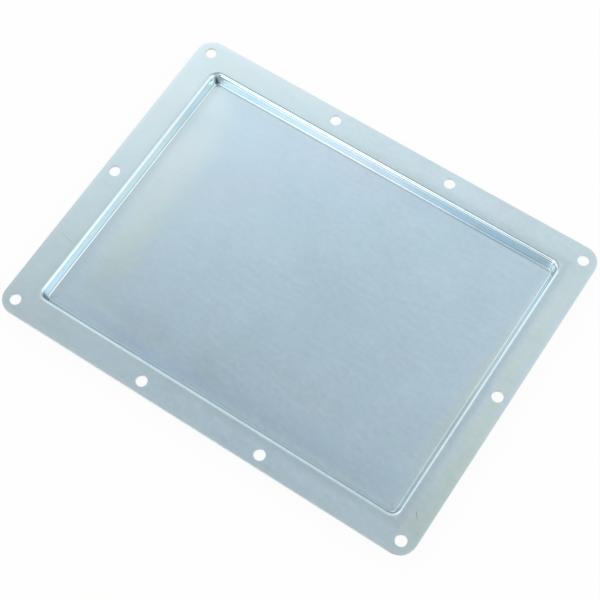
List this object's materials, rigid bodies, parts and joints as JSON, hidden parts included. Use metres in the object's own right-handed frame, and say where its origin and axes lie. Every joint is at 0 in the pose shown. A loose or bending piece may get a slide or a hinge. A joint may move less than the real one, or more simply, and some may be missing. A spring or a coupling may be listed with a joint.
{
  "type": "recess plate",
  "caption": "Rectangular recess plate pressed from plated sheet steel: a shallow dish with drafted walls inside a flat flange with rounded corners and rivet holes.",
  "frame": {"origin": "centre of the plate on the flange's seating face, the underside that lies on the panel", "axes": "+X along the plate's long side, +Y along its short side, +Z out of the panel towards the viewer; the dish goes down to z = -5.5 mm"},
  "size_m": [0.209, 0.161, 0.0065],
  "materials": {
    "zinc_plated_steel": "bright zinc plate with a pale blue passivation, satin with a fine grain along the plate"
  },
  "bodies": {
    "root": {"recess_plate": "zinc_plated_steel"}
  },
  "joints": []
}
